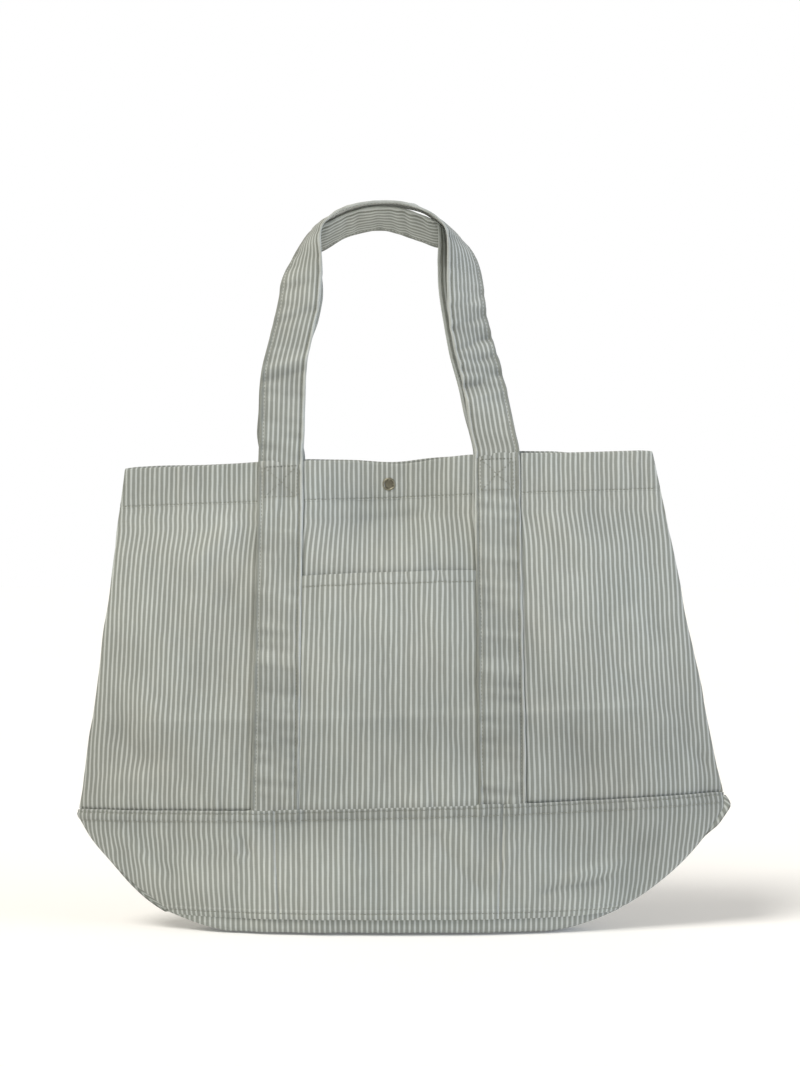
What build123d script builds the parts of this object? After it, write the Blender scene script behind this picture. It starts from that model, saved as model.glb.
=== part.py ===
from build123d import *
import os
from math import atan2, cos, degrees, hypot, radians, sin, sqrt

os.makedirs("parts", exist_ok=True)

# A foldable cloth tote bag, standing on its base. Millimetres, +Z up, front towards -Y,
# origin on the floor under the middle of the base.

# ---- driving dimensions ---------------------------------------------------------------
RIM_HEIGHT = 440.0  # floor to the top edge of the body
RIM_HALF_WIDTH = 247.0
RIM_HALF_DEPTH = 14.0  # under the straps; the snap pinches the middle closer
SEAM_HEIGHT = 121.0  # the seam where the lower band is sewn to the panel
SEAM_HALF_DEPTH = 58.0
CORNER_HEIGHT = 116.0  # the widest point, where the side seam meets the corner seam
CORNER_HALF_WIDTH = 302.0
BASE_HALF_LENGTH = 150.0  # the flat stretch that the bag stands on
BASE_HALF_DEPTH = 34.0
CREASE_HEIGHT = 17.0  # the lower edge of the bands, and the fold line of the walls
HEM_HEIGHT = 404.0  # the stitch line under the turned top edge
POCKET_HEIGHT = 334.0  # the pocket's open edge
HANDLE_TOP = 685.0

STRAP_WIDTH = 40.0
STRAP_THICK = 2.4
STRAP_CENTRE = 100.5  # from the middle of the bag to the middle of each strap
CLOTH = 1.2
GAP = 0.3  # between sewn layers
SEAM_CLEARANCE = 0.8  # from the middle plane to the inner face of each wall at the sides
SNAP_HEIGHT = 418.0
SNAP_RADIUS = 6.0
POCKET_STANDOFF = 7.0  # slack of the pocket at its open edge

# Offsets of the layers outward from the wall's middle surface.
PANEL_IN, PANEL_OUT = SEAM_CLEARANCE, SEAM_CLEARANCE + CLOTH
STRAP_IN = PANEL_OUT + GAP
STRAP_OUT = STRAP_IN + STRAP_THICK
LINING_OUT = PANEL_IN - GAP
LINING_IN = LINING_OUT - 1.1

STRAP_INNER_EDGE = STRAP_CENTRE - STRAP_WIDTH / 2
STRAP_OUTER_EDGE = STRAP_CENTRE + STRAP_WIDTH / 2
PINCH_HALF_WIDTH = 10.0
PINCH_HALF_DEPTH = 4.0
BAND_LEVELS = (CREASE_HEIGHT, 37.0, 66.0, 93.0, SEAM_HEIGHT - GAP)
PANEL_LEVELS = (SEAM_HEIGHT, 230.0, POCKET_HEIGHT, HEM_HEIGHT, RIM_HEIGHT)
WALLS = (("front", -1), ("back", 1))
ENDS = (("left", -1), ("right", 1))


# ---- the shape of the body ------------------------------------------------------------
def smooth(t):
    """Rise gently from 0 to 1."""
    t = min(max(t, 0.0), 1.0)
    return t * t * (3 - 2 * t)


def half_width(z):
    """Half the width of the body: rounded in at the base, tapering up to the rim."""
    if z < CORNER_HEIGHT:
        spread = CORNER_HALF_WIDTH - BASE_HALF_LENGTH
        return BASE_HALF_LENGTH + spread * sqrt(z / CORNER_HEIGHT)
    rise = (z - CORNER_HEIGHT) / (RIM_HEIGHT - CORNER_HEIGHT)
    return CORNER_HALF_WIDTH + (RIM_HALF_WIDTH - CORNER_HALF_WIDTH) * rise


def half_depth(z):
    """Half the depth of the body at its fullest."""
    if z < SEAM_HEIGHT:
        return BASE_HALF_DEPTH + (SEAM_HALF_DEPTH - BASE_HALF_DEPTH) * sqrt(z / SEAM_HEIGHT)
    rise = (z - SEAM_HEIGHT) / (RIM_HEIGHT - SEAM_HEIGHT)
    return SEAM_HALF_DEPTH + (RIM_HALF_DEPTH - SEAM_HALF_DEPTH) * rise**1.3


def depth(x, z):
    """Distance of the wall from the middle plane: a lens, pinched in at the snap."""
    full = half_depth(z)
    if abs(x) <= PINCH_HALF_WIDTH:
        pinch = smooth((z - POCKET_HEIGHT) / (HEM_HEIGHT - POCKET_HEIGHT))
        return full - (full - PINCH_HALF_DEPTH) * pinch
    return full * max(0.0, 1 - (abs(x) / half_width(z)) ** 2.5)


def columns(z, reach):
    """The x of the upright fold lines at height z, out to the "pocket", "lining" or "side" edge."""
    half = [PINCH_HALF_WIDTH, STRAP_INNER_EDGE]
    if reach != "pocket":
        outer = half_width(z) - STRAP_OUTER_EDGE
        half += [STRAP_OUTER_EDGE, STRAP_OUTER_EDGE + 0.4 * outer, STRAP_OUTER_EDGE + 0.75 * outer]
    if reach == "side":
        half.append(half_width(z))
    return [-x for x in reversed(half)] + half


def layer_outline(xs, z, side, inner, outer):
    """A level cut through one cloth layer of a wall, as a closed run of points."""
    outside = [(x, side * (depth(x, z) + outer)) for x in xs]
    inside = [(x, side * (depth(x, z) + inner)) for x in reversed(xs)]
    return outside + inside


def level_face(points, z):
    """A closed level face at height z, for a loft to pass through."""
    with BuildSketch(Plane.XY.offset(z)) as level:
        with BuildLine():
            Polyline(*points, close=True)
        make_face()
    return level.sketch


def wall_levels(levels, side, reach, inner, outer):
    """The level faces of one cloth layer of a wall."""
    return [level_face(layer_outline(columns(z, reach), z, side, inner, outer), z) for z in levels]


def save(piece, label):
    piece.part.label = label
    export_step(piece.part, f"parts/{label}.step")


# ---- base: what the bag stands on, and the seams at its two ends ----------------------
TRAY_TOP = CREASE_HEIGHT - 1.0


def tray_ring(z, inset):
    """A level cut through the tray under the bag, moved in by inset."""
    rise = z / TRAY_TOP
    reach = BASE_HALF_LENGTH + (half_width(TRAY_TOP) - BASE_HALF_LENGTH) * rise - 4 * inset
    deep = BASE_HALF_DEPTH + (half_depth(TRAY_TOP) - BASE_HALF_DEPTH) * rise - inset
    xs = [reach * t for t in (-1, -0.85, -0.6, -0.3, 0, 0.3, 0.6, 0.85, 1)]
    front = [(x, -deep * (1 - abs(x / reach) ** 2.5) - 0.5) for x in xs]
    back = [(x, -y) for x, y in reversed(front)]
    return front + back


with BuildPart() as bottom_panel:
    loft([level_face(tray_ring(z, 0), z) for z in (0, TRAY_TOP)], ruled=True)
    loft([level_face(tray_ring(z, CLOTH), z) for z in (CLOTH, TRAY_TOP)], ruled=True, mode=Mode.SUBTRACT)
save(bottom_panel, "bottom_panel")

CORNER_OVERHANG = 7.0  # how far the folded corner shows past the bands
CORNER_INSIDE = 12.0
for end, sign in ENDS:
    heights = (CREASE_HEIGHT, 37.0, 66.0, 93.0, CORNER_HEIGHT)
    with BuildPart() as corner_fold:
        with BuildSketch(Plane.XZ):
            with BuildLine():
                outer_edge = [(sign * (half_width(z) + CORNER_OVERHANG), z) for z in heights[:-1]]
                tip = [(sign * half_width(z), z) for z in heights[-1:]]
                inner_edge = [(sign * (half_width(z) - CORNER_INSIDE), z) for z in reversed(heights)]
                Polyline(*outer_edge, *tip, *inner_edge, close=True)
            make_face()
        extrude(amount=0.5, both=True)
    save(corner_fold, f"{end}_corner_fold")

    with BuildPart() as side_binding:
        low, high = SEAM_HEIGHT + 1, RIM_HEIGHT - 2
        with BuildSketch(Plane.XZ):
            with BuildLine():
                Polyline(
                    (sign * (half_width(low) - 0.5), low),
                    (sign * (half_width(high) - 0.5), high),
                    (sign * (half_width(high) - 12.5), high),
                    (sign * (half_width(low) - 12.5), low),
                    close=True,
                )
            make_face()
        extrude(amount=0.5, both=True)
    save(side_binding, f"{end}_side_binding")


# ---- the two walls, mirror images of each other ---------------------------------------
def snap_disc(y, radius):
    """A disc on the snap's axis, facing +Y."""
    with BuildSketch(Plane(origin=(0, y, SNAP_HEIGHT), x_dir=(1, 0, 0), z_dir=(0, 1, 0))) as disc:
        Circle(radius)
    return disc.sketch


SHANK_RADIUS = 1.2
SHANK_HOLE_RADIUS = 1.5


def strap_face_plane(x_sign, side, lift):
    """The plane of a sewn strap's outer face beside the rim, raised by lift."""
    corners = []
    for x, z in ((STRAP_INNER_EDGE, HEM_HEIGHT), (STRAP_OUTER_EDGE, HEM_HEIGHT), (STRAP_OUTER_EDGE, RIM_HEIGHT)):
        corners.append(Vector(x_sign * x, side * (depth(x, z) + STRAP_OUT), z))
    across = (corners[1] - corners[0]) * x_sign
    normal = across.cross(corners[2] - corners[1]).normalized()
    if normal.Y * side < 0:
        normal = normal * -1
    middle = (corners[0] + corners[2]) * 0.5
    return Plane(origin=middle + normal * lift, x_dir=across, z_dir=normal)


for wall, side in WALLS:
    with BuildPart() as panel:
        loft(wall_levels(PANEL_LEVELS, side, "side", PANEL_IN, PANEL_OUT), ruled=True)
        extrude(snap_disc(-30, SHANK_HOLE_RADIUS), amount=60, mode=Mode.SUBTRACT)
    save(panel, f"{wall}_panel")

    with BuildPart() as band:
        loft(wall_levels(BAND_LEVELS, side, "side", PANEL_IN, PANEL_OUT), ruled=True)
    save(band, f"{wall}_lower_band")

    with BuildPart() as facing:
        loft(wall_levels((HEM_HEIGHT, RIM_HEIGHT - 1), side, "lining", LINING_IN, LINING_OUT), ruled=True)
        extrude(snap_disc(-30, SHANK_HOLE_RADIUS), amount=60, mode=Mode.SUBTRACT)
    save(facing, f"{wall}_top_facing")

    with BuildPart() as seam_binding:
        levels = (SEAM_HEIGHT + 2, SEAM_HEIGHT + 14)
        loft(wall_levels(levels, side, "lining", LINING_IN - 1, LINING_OUT - 1), ruled=True)
    save(seam_binding, f"{wall}_seam_binding")

    for end, sign in ENDS:
        xs = sorted((sign * STRAP_INNER_EDGE, sign * STRAP_OUTER_EDGE))
        levels = PANEL_LEVELS[:-1] + (RIM_HEIGHT - 0.5,)
        with BuildPart() as strap_leg:
            loft([level_face(layer_outline(xs, z, side, STRAP_IN, STRAP_OUT), z) for z in levels], ruled=True)
        save(strap_leg, f"{wall}_{end}_strap_leg")

STITCH = 0.8
STITCH_LENGTH = 33.0
STITCH_HEIGHT = 27.0
for wall, side in WALLS:
    with BuildPart() as cross_stitch:
        for end, sign in ENDS:
            with BuildSketch(strap_face_plane(sign, side, 0.2)):
                Rectangle(STITCH_LENGTH, STITCH_HEIGHT)
                Rectangle(STITCH_LENGTH - 2 * STITCH, STITCH_HEIGHT - 2 * STITCH, mode=Mode.SUBTRACT)
                for turn in (-1, 1):
                    slope = degrees(atan2(STITCH_HEIGHT, STITCH_LENGTH))
                    Rectangle(hypot(STITCH_LENGTH, STITCH_HEIGHT) - 2 * STITCH, STITCH, rotation=turn * slope)
            extrude(amount=0.4)
    save(cross_stitch, f"{wall}_cross_stitch")


# ---- pocket: on the front wall, between the straps ------------------------------------
def pocket_level(z):
    """The pocket's level face at height z, standing further off the panel as it rises."""
    rise = (z - SEAM_HEIGHT) / (POCKET_HEIGHT - SEAM_HEIGHT)
    inner = STRAP_IN + POCKET_STANDOFF * rise**2
    xs = columns(z, "pocket")
    xs = [xs[0] + GAP, *xs[1:-1], xs[-1] - GAP]
    return level_face(layer_outline(xs, z, -1, inner, inner + CLOTH), z)


with BuildPart() as front_pocket:
    loft([pocket_level(z) for z in PANEL_LEVELS[:3]], ruled=True)
save(front_pocket, "front_pocket")


# ---- snap: a press stud that closes the mouth -----------------------------------------
WALL_FACE = PINCH_HALF_DEPTH + PANEL_OUT + 0.05  # outer face of each wall at the snap
LINING_FACE = PINCH_HALF_DEPTH + LINING_IN - 0.05  # inner face
SOCKET_FACE = -1.0
STUD_RADIUS = 2.2
STUD_CLEARANCE = 0.45
DISC_RADIUS = 5.5

with BuildPart() as snap_cap:
    extrude(snap_disc(-WALL_FACE - 1.6, SNAP_RADIUS), amount=1.6)
    fillet(snap_cap.edges().filter_by(GeomType.CIRCLE).sort_by(Axis.Y)[0], 0.9)
    extrude(snap_disc(-WALL_FACE, SHANK_RADIUS), amount=WALL_FACE - LINING_FACE)
save(snap_cap, "snap_cap")

with BuildPart() as snap_socket:
    extrude(snap_disc(-LINING_FACE, DISC_RADIUS), amount=LINING_FACE + SOCKET_FACE)
    chamfer(snap_socket.edges().filter_by(GeomType.CIRCLE).sort_by(Axis.Y)[-1], 0.5)
    extrude(snap_disc(SOCKET_FACE - 1.8, STUD_RADIUS + STUD_CLEARANCE), amount=1.8, mode=Mode.SUBTRACT)
save(snap_socket, "snap_socket")

with BuildPart() as snap_stud:
    extrude(snap_disc(LINING_FACE - 1.1, DISC_RADIUS), amount=1.1)
    extrude(snap_disc(SOCKET_FACE - 1.4, STUD_RADIUS), amount=LINING_FACE - 1.1 - SOCKET_FACE + 1.4)
    fillet(snap_stud.edges().filter_by(GeomType.CIRCLE).sort_by(Axis.Y)[0], 0.6)
save(snap_stud, "snap_stud")

with BuildPart() as snap_post:
    extrude(snap_disc(WALL_FACE, DISC_RADIUS - 0.5), amount=1.2)
    fillet(snap_post.edges().filter_by(GeomType.CIRCLE).sort_by(Axis.Y)[-1], 0.6)
    extrude(snap_disc(LINING_FACE, SHANK_RADIUS), amount=WALL_FACE - LINING_FACE)
save(snap_post, "snap_post")


# ---- handles: straps that turn edge-on as they pass over the top ----------------------
RIM_STRAP_DEPTH = depth(STRAP_CENTRE, RIM_HEIGHT) + (STRAP_IN + STRAP_OUT) / 2
HANDLE_START = RIM_HEIGHT + 1.5
TWIST_START = 545.0
STATIONS = 24


def handle_sections(side, top, top_depth, top_twist, nest):
    """Planes across a handle, evenly spaced along it, each with its x along the strap's width."""
    half = [(STRAP_CENTRE, 0.0), (97.0 - nest / 2, 0.27), (86.0 - nest, 0.55), (63.0 - nest, 0.84)]
    rise = top - HANDLE_START
    lean = top_depth - RIM_STRAP_DEPTH

    def place(x, t):
        return (x, side * (RIM_STRAP_DEPTH + lean * smooth(t)), HANDLE_START + rise * t)

    points = [place(-x, t) for x, t in half] + [place(0, 1)] + [place(x, t) for x, t in reversed(half)]
    path = Spline(*points, tangents=((0, 0, 1), (0, 0, -1)), mode=Mode.PRIVATE)
    for n in range(STATIONS + 1):
        spot, along = path.position_at(n / STATIONS), path.tangent_at(n / STATIONS)
        twist = top_twist * smooth((spot.Z - TWIST_START) / (top - TWIST_START))
        outward = along.cross(Vector(0, 1, 0)).normalized() * -1
        sideways = along.cross(outward).normalized()
        if sideways.Y * side > 0:
            sideways = sideways * -1
        width = outward * cos(radians(twist)) + sideways * sin(radians(twist))
        yield Plane(origin=spot, x_dir=width, z_dir=along)


# wall, side, height of the strap's middle at the top, its depth there, its twist there,
# and how far it passes inside the other handle
HANDLES = (
    ("front", -1, HANDLE_TOP - STRAP_THICK / 2, 7.0, 88.0, 0.0),
    ("back", 1, HANDLE_TOP - 21.0, 12.0, 55.0, 10.0),
)
for wall, side, top, top_depth, top_twist, nest in HANDLES:
    with BuildPart() as handle:
        for plane in handle_sections(side, top, top_depth, top_twist, nest):
            with BuildSketch(plane):
                Rectangle(STRAP_WIDTH, STRAP_THICK)
        loft(ruled=True)
    save(handle, f"{wall}_handle")
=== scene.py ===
from math import cos, pi, radians, sin

import bmesh
import bpy
import numpy as np
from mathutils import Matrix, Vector


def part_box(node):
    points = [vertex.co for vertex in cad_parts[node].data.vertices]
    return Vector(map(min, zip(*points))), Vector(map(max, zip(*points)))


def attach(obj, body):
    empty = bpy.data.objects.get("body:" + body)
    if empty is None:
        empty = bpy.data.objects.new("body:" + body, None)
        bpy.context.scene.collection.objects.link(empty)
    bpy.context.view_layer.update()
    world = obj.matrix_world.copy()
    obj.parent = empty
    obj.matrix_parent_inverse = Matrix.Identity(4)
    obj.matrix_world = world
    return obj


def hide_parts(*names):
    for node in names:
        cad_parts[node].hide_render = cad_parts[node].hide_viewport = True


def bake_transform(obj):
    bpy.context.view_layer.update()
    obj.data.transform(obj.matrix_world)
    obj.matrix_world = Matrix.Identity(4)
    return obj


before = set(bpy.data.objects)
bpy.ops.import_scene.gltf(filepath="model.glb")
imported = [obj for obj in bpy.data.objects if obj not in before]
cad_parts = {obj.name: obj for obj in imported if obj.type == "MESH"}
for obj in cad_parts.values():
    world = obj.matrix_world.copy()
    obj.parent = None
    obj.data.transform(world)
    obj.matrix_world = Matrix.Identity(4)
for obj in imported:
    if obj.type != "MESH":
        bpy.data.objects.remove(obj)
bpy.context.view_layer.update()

# A striped cotton tote bag. Metres, +Z up, front towards -Y.
MM = 0.001

# ---- places taken from the frame ----
panel_low, panel_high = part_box("front_panel")
leg_low, leg_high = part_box("front_right_strap_leg")
snap_low, snap_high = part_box("snap_cap")
SEAM, RIM = panel_low.z, panel_high.z
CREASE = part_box("front_lower_band")[0].z
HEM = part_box("front_top_facing")[0].z
POCKET_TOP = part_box("front_pocket")[1].z
STRAP_X = (leg_low.x + leg_high.x) / 2
STRAP_HALF = (leg_high.x - leg_low.x) / 2
SNAP_Z = (snap_low.z + snap_high.z) / 2

# ---- sizes of the bag ----
RIM_HALF_WIDTH = 247 * MM
RIM_HALF_DEPTH = 14 * MM
SEAM_HALF_DEPTH = 58 * MM
CORNER_Z = 116 * MM
CORNER_HALF_WIDTH = 302 * MM
BASE_HALF_LENGTH = 150 * MM
BASE_HALF_DEPTH = 34 * MM
PINCH_DEPTH = 4 * MM
PANEL_IN, PANEL_OUT = 0.8 * MM, 2.0 * MM
STRAP_IN, STRAP_OUT = 2.1 * MM, 4.5 * MM
LINING_IN, LINING_OUT = -0.6 * MM, 0.5 * MM
STRIPE = 4.55 * MM  # one sage and one off-white stripe
WEAVE = 0.62 * MM  # one warp yarn over and under
CELL = 3 * MM  # of the cloth's mesh
WALLS = (("front", -1), ("back", 1))
ENDS = (("left", -1), ("right", 1))
ZONES = (("left", -1), ("centre", 0), ("right", 1))


# ---- numbers ----
def smooth(t):
    """Rise gently from 0 to 1."""
    t = np.clip(t, 0.0, 1.0)
    return t * t * (3 - 2 * t)


def bump(t):
    """A soft bell, 1 at 0 and near 0 beyond 2."""
    return np.exp(-t * t)


def field(u, v, cell_u, cell_v, seed):
    """A smooth random height from about -1 to 1, with lumps of cell_u by cell_v."""
    lattice = np.random.default_rng(seed).uniform(-1, 1, (97, 97))
    a, b = np.broadcast_arrays(u / cell_u + 40.3, v / cell_v + 37.7)
    i, j = np.floor(a).astype(int), np.floor(b).astype(int)
    fa, fb = smooth(a - i), smooth(b - j)
    i, j = i % 96, j % 96
    low = lattice[i, j] * (1 - fa) + lattice[i + 1, j] * fa
    high = lattice[i, j + 1] * (1 - fa) + lattice[i + 1, j + 1] * fa
    return low * (1 - fb) + high * fb


def unit(v):
    return v / np.linalg.norm(v, axis=-1, keepdims=True)


def gaps(points, axis=0):
    """Distances from each point to the next along an axis."""
    return np.linalg.norm(np.diff(points, axis=axis), axis=-1)


def distance_along(line):
    """How far along a line each of its points is."""
    return np.concatenate([[0], np.cumsum(gaps(line))])


def lie_of(middle):
    """Unit normals of a grid of points, and the distance along each of its rows."""
    du, dv = np.gradient(middle, axis=0), np.gradient(middle, axis=1)
    return unit(np.cross(du, dv)), np.cumsum(np.linalg.norm(dv, axis=-1), axis=1)


# ---- the shape of the body ----
def half_width(z):
    below = BASE_HALF_LENGTH + (CORNER_HALF_WIDTH - BASE_HALF_LENGTH) * np.sqrt(
        np.clip(z, 0, CORNER_Z) / CORNER_Z
    )
    above = CORNER_HALF_WIDTH + (RIM_HALF_WIDTH - CORNER_HALF_WIDTH) * (z - CORNER_Z) / (RIM - CORNER_Z)
    return np.where(z < CORNER_Z, below, above)


def half_depth(z):
    below = BASE_HALF_DEPTH + (SEAM_HALF_DEPTH - BASE_HALF_DEPTH) * np.sqrt(np.clip(z, 0, SEAM) / SEAM)
    rise = np.clip((z - SEAM) / (RIM - SEAM), 0, 1)
    return np.where(z < SEAM, below, SEAM_HALF_DEPTH + (RIM_HALF_DEPTH - SEAM_HALF_DEPTH) * rise**1.3)


def depth(x, z):
    """Distance of the wall from the middle plane: a lens, pinched in at the snap."""
    lens = half_depth(z) * (1 - np.clip(np.abs(x) / half_width(z), 0, 1) ** 2.5)
    pinch = smooth((z - POCKET_TOP) / (HEM - POCKET_TOP)) * smooth(1 - (np.abs(x) - 9 * MM) / (74 * MM))
    return lens - (lens - PINCH_DEPTH) * pinch - 0.5 * MM * (np.abs(x) / half_width(z)) ** 8


# Folds in each wall: start x, z and end x, z, width and height in millimetres.
FOLDS = {
    "front": (
        (-195, 330, -130, 392, 11, 2.6), (-150, 300, -118, 372, 9, -1.6), (-262, 250, -205, 190, 14, 2.2),
        (-280, 200, -215, 158, 12, -2.2), (-285, 140, -180, 160, 9, 1.5), (-60, 392, 10, 386, 6, 1.3),
        (-35, 380, 45, 388, 6, -1.6), (5, 400, 60, 372, 9, 1.2), (128, 388, 205, 330, 13, 1.8),
        (240, 190, 300, 132, 7, -2.4), (225, 205, 285, 150, 9, 1.8), (205, 300, 250, 235, 12, 1.3),
        (150, 200, 185, 140, 13, -1.4), (-70, 200, 60, 196, 7, -0.6),
    ),
    "back": (
        (-210, 340, -130, 380, 12, 2.2), (-270, 230, -200, 170, 13, -2.0), (-60, 300, 40, 250, 16, 1.2),
        (130, 390, 215, 320, 12, 2.2), (215, 220, 290, 150, 10, 2.0), (150, 250, 230, 180, 14, -1.4),
    ),
}
BAND_FOLDS = {
    "front": (
        (-150, 98, -128, 66, 5, 1.6), (-132, 100, -120, 74, 4, -1.8), (-270, 104, -215, 62, 8, 2.0),
        (-240, 88, -190, 46, 8, -1.8), (36, 104, 60, 62, 7, -1.9), (50, 70, 95, 32, 6, -1.6),
        (108, 92, 92, 48, 8, 2.2), (66, 100, 82, 60, 7, 1.4), (125, 33, 208, 52, 5, -2.6),
        (150, 44, 215, 66, 6, 2.2), (305, 112, 225, 45, 7, 2.0), (300, 98, 235, 60, 6, -2.2),
        (-40, 90, -20, 50, 9, 1.0),
    ),
    "back": (
        (-280, 100, -200, 50, 9, 2.2), (-90, 95, -60, 45, 8, -1.6), (60, 100, 95, 50, 9, 1.8),
        (285, 104, 205, 48, 8, -2.0),
    ),
}
FOLD_LINE_Z = 206 * MM  # where the bag has been folded in half


def fold_height(x, z, folds):
    """The height of a set of folds at x, z."""
    total = np.zeros(np.broadcast(x, z).shape)
    for x0, z0, x1, z1, width, height in folds:
        run = np.array([x1 - x0, z1 - z0]) * MM
        length = np.hypot(*run)
        along = ((x - x0 * MM) * run[0] + (z - z0 * MM) * run[1]) / length**2
        across = ((x - x0 * MM) * run[1] - (z - z0 * MM) * run[0]) / length
        wander = 0.2 * length * field(along, across, 0.4, 9.0, 3) * 0.35
        inside = smooth(along * 3.2) * smooth((1 - along) * 3.2)
        total += height * MM * bump((across + wander) / (width * MM)) * inside
    return total


def wrinkles(x, z, side):
    """How far the cloth of a wall stands out from its plain shape."""
    wall = "front" if side < 0 else "back"
    seed = 10 if side < 0 else 50
    slack = smooth((RIM - z) / (60 * MM)) * 0.8 + 0.2
    total = 2.0 * MM * field(x, z, 62 * MM, 90 * MM, seed) * slack
    total += 1.1 * MM * field(x + 0.4 * z, z, 24 * MM, 46 * MM, seed + 1) * slack
    total += 0.32 * MM * field(x, z, 8 * MM, 15 * MM, seed + 2)
    body = smooth((z - SEAM) / (8 * MM))
    total += body * fold_height(x, z, FOLDS[wall])
    band = smooth((SEAM - 4 * MM - z) / (8 * MM))
    total += band * fold_height(x, z, BAND_FOLDS[wall])
    line = FOLD_LINE_Z + 5 * MM * field(x, z * 0, 120 * MM, 1.0, seed + 3)
    total += body * 1.5 * MM * np.exp(-np.abs(z - line) / (9 * MM)) * smooth((0.26 - np.abs(x)) / 0.05)
    # gathers where the cloth is drawn in by the seams
    near_seam = bump((z - SEAM) / (13 * MM))
    total += 0.8 * MM * near_seam * field(x, z, 7 * MM, 60 * MM, seed + 4)
    in_hem = smooth((z - HEM + 12 * MM) / (10 * MM))
    total += 0.55 * MM * in_hem * field(x, z, 6 * MM, 70 * MM, seed + 5)
    # the metal snap holds a round patch of cloth flat
    flat = smooth((np.hypot(x, z - SNAP_Z) - 7 * MM) / (12 * MM))
    # the side edges are held by the seam
    edge = smooth((half_width(z) - np.abs(x)) / (16 * MM)) * 0.9 + 0.1
    return total * flat * edge


def surface(x, z, side):
    """The middle of a wall's cloth, as it really lies: a little askew, sagging and creased."""
    wall_x, wall_z = np.broadcast_arrays(np.asarray(x, float), np.asarray(z, float))
    down = np.clip((RIM - wall_z) / (RIM - SEAM), 0, 1)
    outer = smooth((np.abs(wall_x) - 0.12) / 0.16)
    low = smooth(wall_z / 0.09)
    px = wall_x * (1 + 0.035 * down * low * (1 - outer)) + 11.5 * MM * down * low * outer
    px = px + 1.1 * MM * outer * field(wall_z, wall_x * 0 + side, 33 * MM, 1.0, 71)
    left_corner = -5.5 * MM * bump((wall_z - 84 * MM) / (30 * MM))
    right_corner = 7 * MM * smooth((wall_z - 8 * MM) / (25 * MM)) * smooth((118 * MM - wall_z) / (12 * MM))
    px = px + outer * np.where(wall_x < 0, left_corner, right_corner)
    tilt = np.where(wall_z > SEAM, 0.0267 + 0.0085 * (1 - down), 0.0267 * smooth(wall_z / SEAM))
    dip = 4.5 * MM * bump((wall_x - 12 * MM) / (34 * MM)) * smooth((wall_z - SNAP_Z - 5 * MM) / (14 * MM))
    near_rim = smooth((wall_z - HEM) / (36 * MM))
    swell = 1.8 * MM * bump((np.abs(wall_x) - STRAP_X) / (45 * MM)) * near_rim
    pz = wall_z + tilt * wall_x - dip + swell
    if side > 0:
        pz = pz + 2.2 * MM * near_rim * (0.5 + field(wall_x, 0 * wall_z, 40 * MM, 1.0, 72))
    py = side * (depth(wall_x, wall_z) + wrinkles(wall_x, wall_z, side))
    return np.stack([px, py, pz], axis=-1)


def normals_of(x, z, side):
    """Outward normals of a wall's surface."""
    step = 0.6 * MM
    along = surface(x + step, z, side) - surface(x - step, z, side)
    up = surface(x, z + step, side) - surface(x, z - step, side)
    n = unit(np.cross(up, along) * -side)
    return np.where(n[..., 1:2] * side < 0, -n, n)


def on_wall(x, z, side, out):
    """A point out from a wall's middle surface."""
    return surface(x, z, side) + normals_of(x, z, side) * np.asarray(out)[..., None]


# Darker patches, partly painted shade of folds and creases and partly uneven tone; a depth below 0 makes a
# paler patch: middle x and z, half width and height in millimetres, and depth.
SHADE_AND_TONE_PATCHES = (
    (238, 170, 55, 48, 0.055), (-262, 185, 28, 40, 0.05), (210, 380, 40, 16, 0.03), (-5, 390, 70, 6, 0.05),
    (95, 60, 26, 30, 0.05), (170, 42, 38, 9, 0.08), (60, 24, 80, 6, 0.05), (280, 105, 30, 20, 0.05),
    (-200, 300, 30, 50, 0.02), (45, 370, 40, 22, -0.03), (-150, 66, 150, 20, -0.07),
    (200, 75, 50, 24, 0.04), (-190, 450, 60, 30, 0.04), (-60, 425, 50, 30, -0.03),
    (-215, 170, 50, 40, -0.04),
)


def wall_wear_and_shade(x, z, side):
    """How light the cloth's colour is: uneven in tone, darker towards the base and at the hem, with painted
    shade in the hollows, at the base seam and below the fold line, and painted highlights on the raised
    folds, which are paler, and along the fold line.
    """
    seed = 130 if side < 0 else 160
    wear_and_shade = 1 + 0.05 * field(x, z, 48 * MM, 60 * MM, seed) + 0.04 * field(x, z, 13 * MM, 24 * MM, seed + 1)
    # painted shade in the hollows of the wrinkles and painted highlights on their crests, with a little wear
    # on the crests
    wear_and_shade = wear_and_shade + 0.03 * np.clip(wrinkles(x, z, side) / MM, -3, 3)
    wear_and_shade = wear_and_shade - 0.12 * smooth((0.36 - z) / 0.22) * smooth((z - 0.03) / 0.09)
    hem = smooth((z - HEM) / (3 * MM))
    # painted shade below the base seam, deepest between the straps
    seam = np.exp(-(((z - SEAM + 6 * MM) / (6 * MM)) ** 2))
    middle = smooth((95 * MM - np.abs(x + 12 * MM)) / (25 * MM))
    streaks = field(x, z, 4 * MM, 60 * MM, seed + 2)
    wear_and_shade = wear_and_shade - 0.035 * hem + 0.03 * hem * streaks - seam * (0.07 + 0.10 * middle - 0.04 * streaks)
    # painted shade in the crease of the base seam
    wear_and_shade = wear_and_shade - 0.05 * bump((z - SEAM - 1 * MM) / (4 * MM))
    # painted highlight along the fold line, and painted shade below it
    inside = smooth((0.25 - np.abs(x)) / 0.05)
    wear_and_shade = wear_and_shade + 0.06 * inside * np.exp(-np.abs(z - FOLD_LINE_Z) / (2.5 * MM))
    below = smooth((FOLD_LINE_Z - z) / (6 * MM)) * smooth((z - FOLD_LINE_Z + 70 * MM) / (50 * MM))
    wear_and_shade = wear_and_shade - 0.03 * inside * below
    # patches of painted shade and uneven tone
    for px, pz, wide, tall, deep in SHADE_AND_TONE_PATCHES:
        wear_and_shade = wear_and_shade - deep * bump((x - px * MM) / (wide * MM)) * bump((z - pz * MM) / (tall * MM))
    return wear_and_shade


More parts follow.
